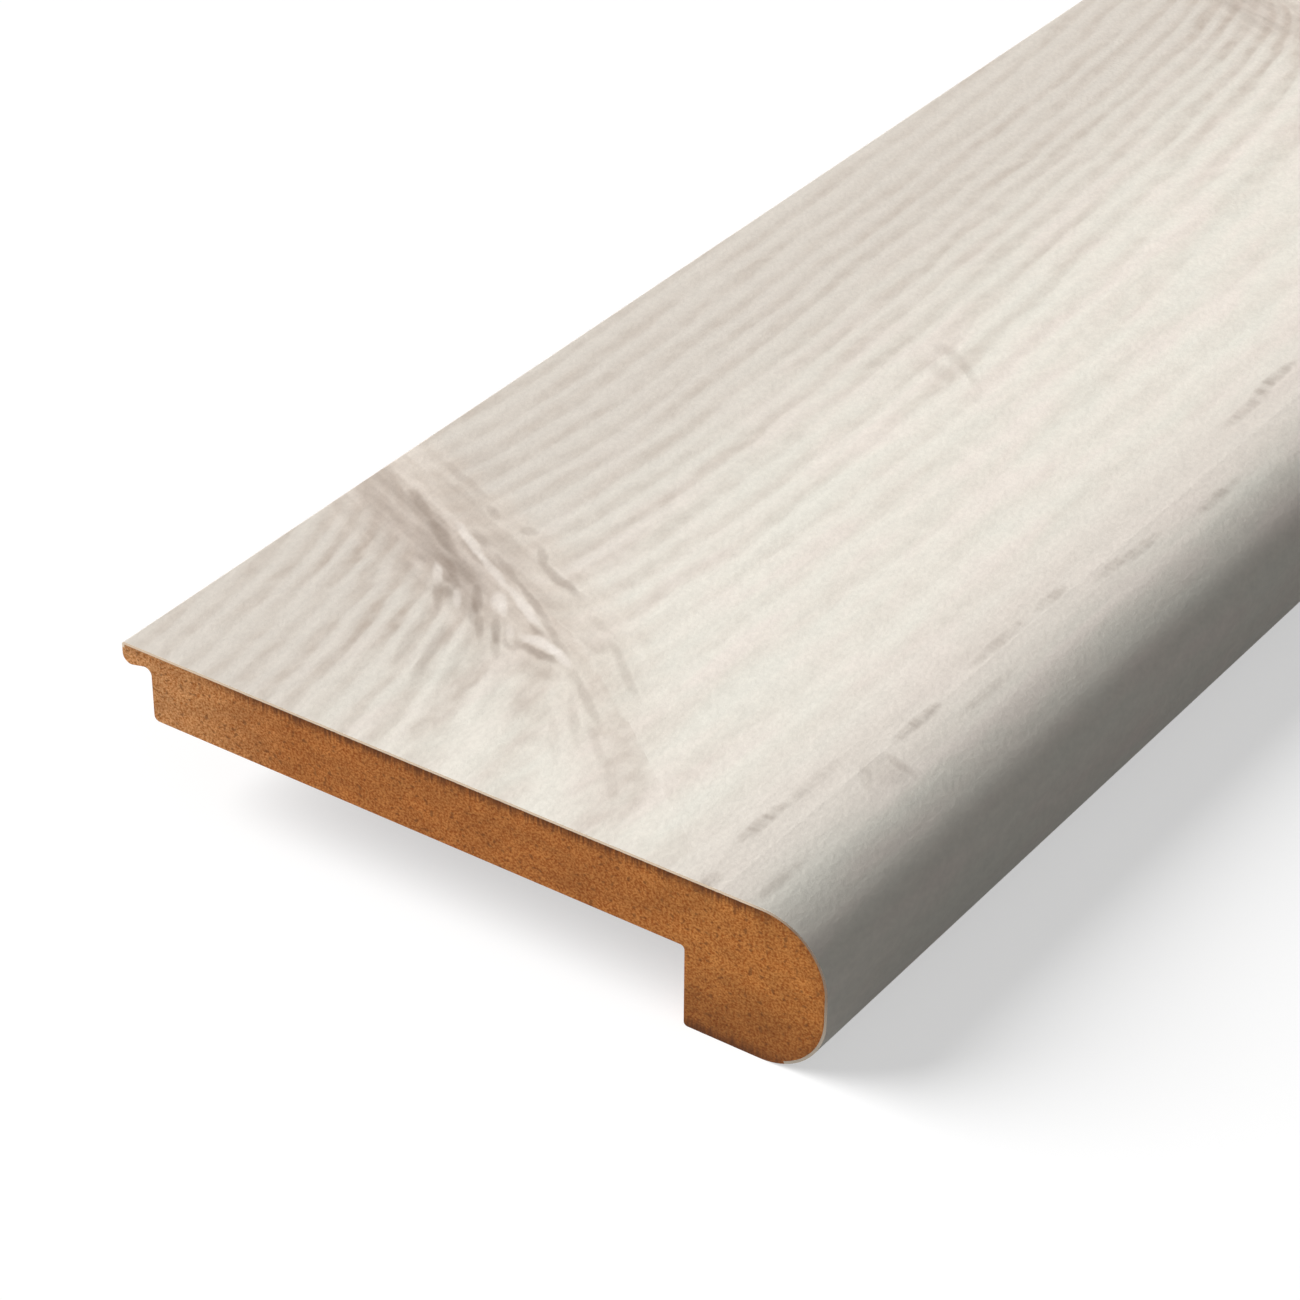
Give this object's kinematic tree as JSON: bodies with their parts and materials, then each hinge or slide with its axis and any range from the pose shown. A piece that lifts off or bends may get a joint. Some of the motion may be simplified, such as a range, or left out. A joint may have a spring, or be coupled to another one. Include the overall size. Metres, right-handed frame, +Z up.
{
  "type": "flush stair nosing",
  "caption": "Length of flush stair nosing: a milled fibreboard core with a rounded nose and a thin back lip, wrapped in a pale wood-look laminate.",
  "frame": {"origin": "under the middle of the stock, on the plane that the foot of the nose stands on", "axes": "+X along the stock, +Y from the rounded nose towards the lip, +Z up out of the walking face"},
  "size_m": [2, 0.1142, 0.0235],
  "materials": {
    "fibreboard": "milled bare fibreboard, matt",
    "decor_laminate": "whitewashed knotty pine print, satin"
  },
  "bodies": {
    "root": {"mdf_core": "fibreboard", "laminate_wrap": "decor_laminate"}
  },
  "joints": []
}
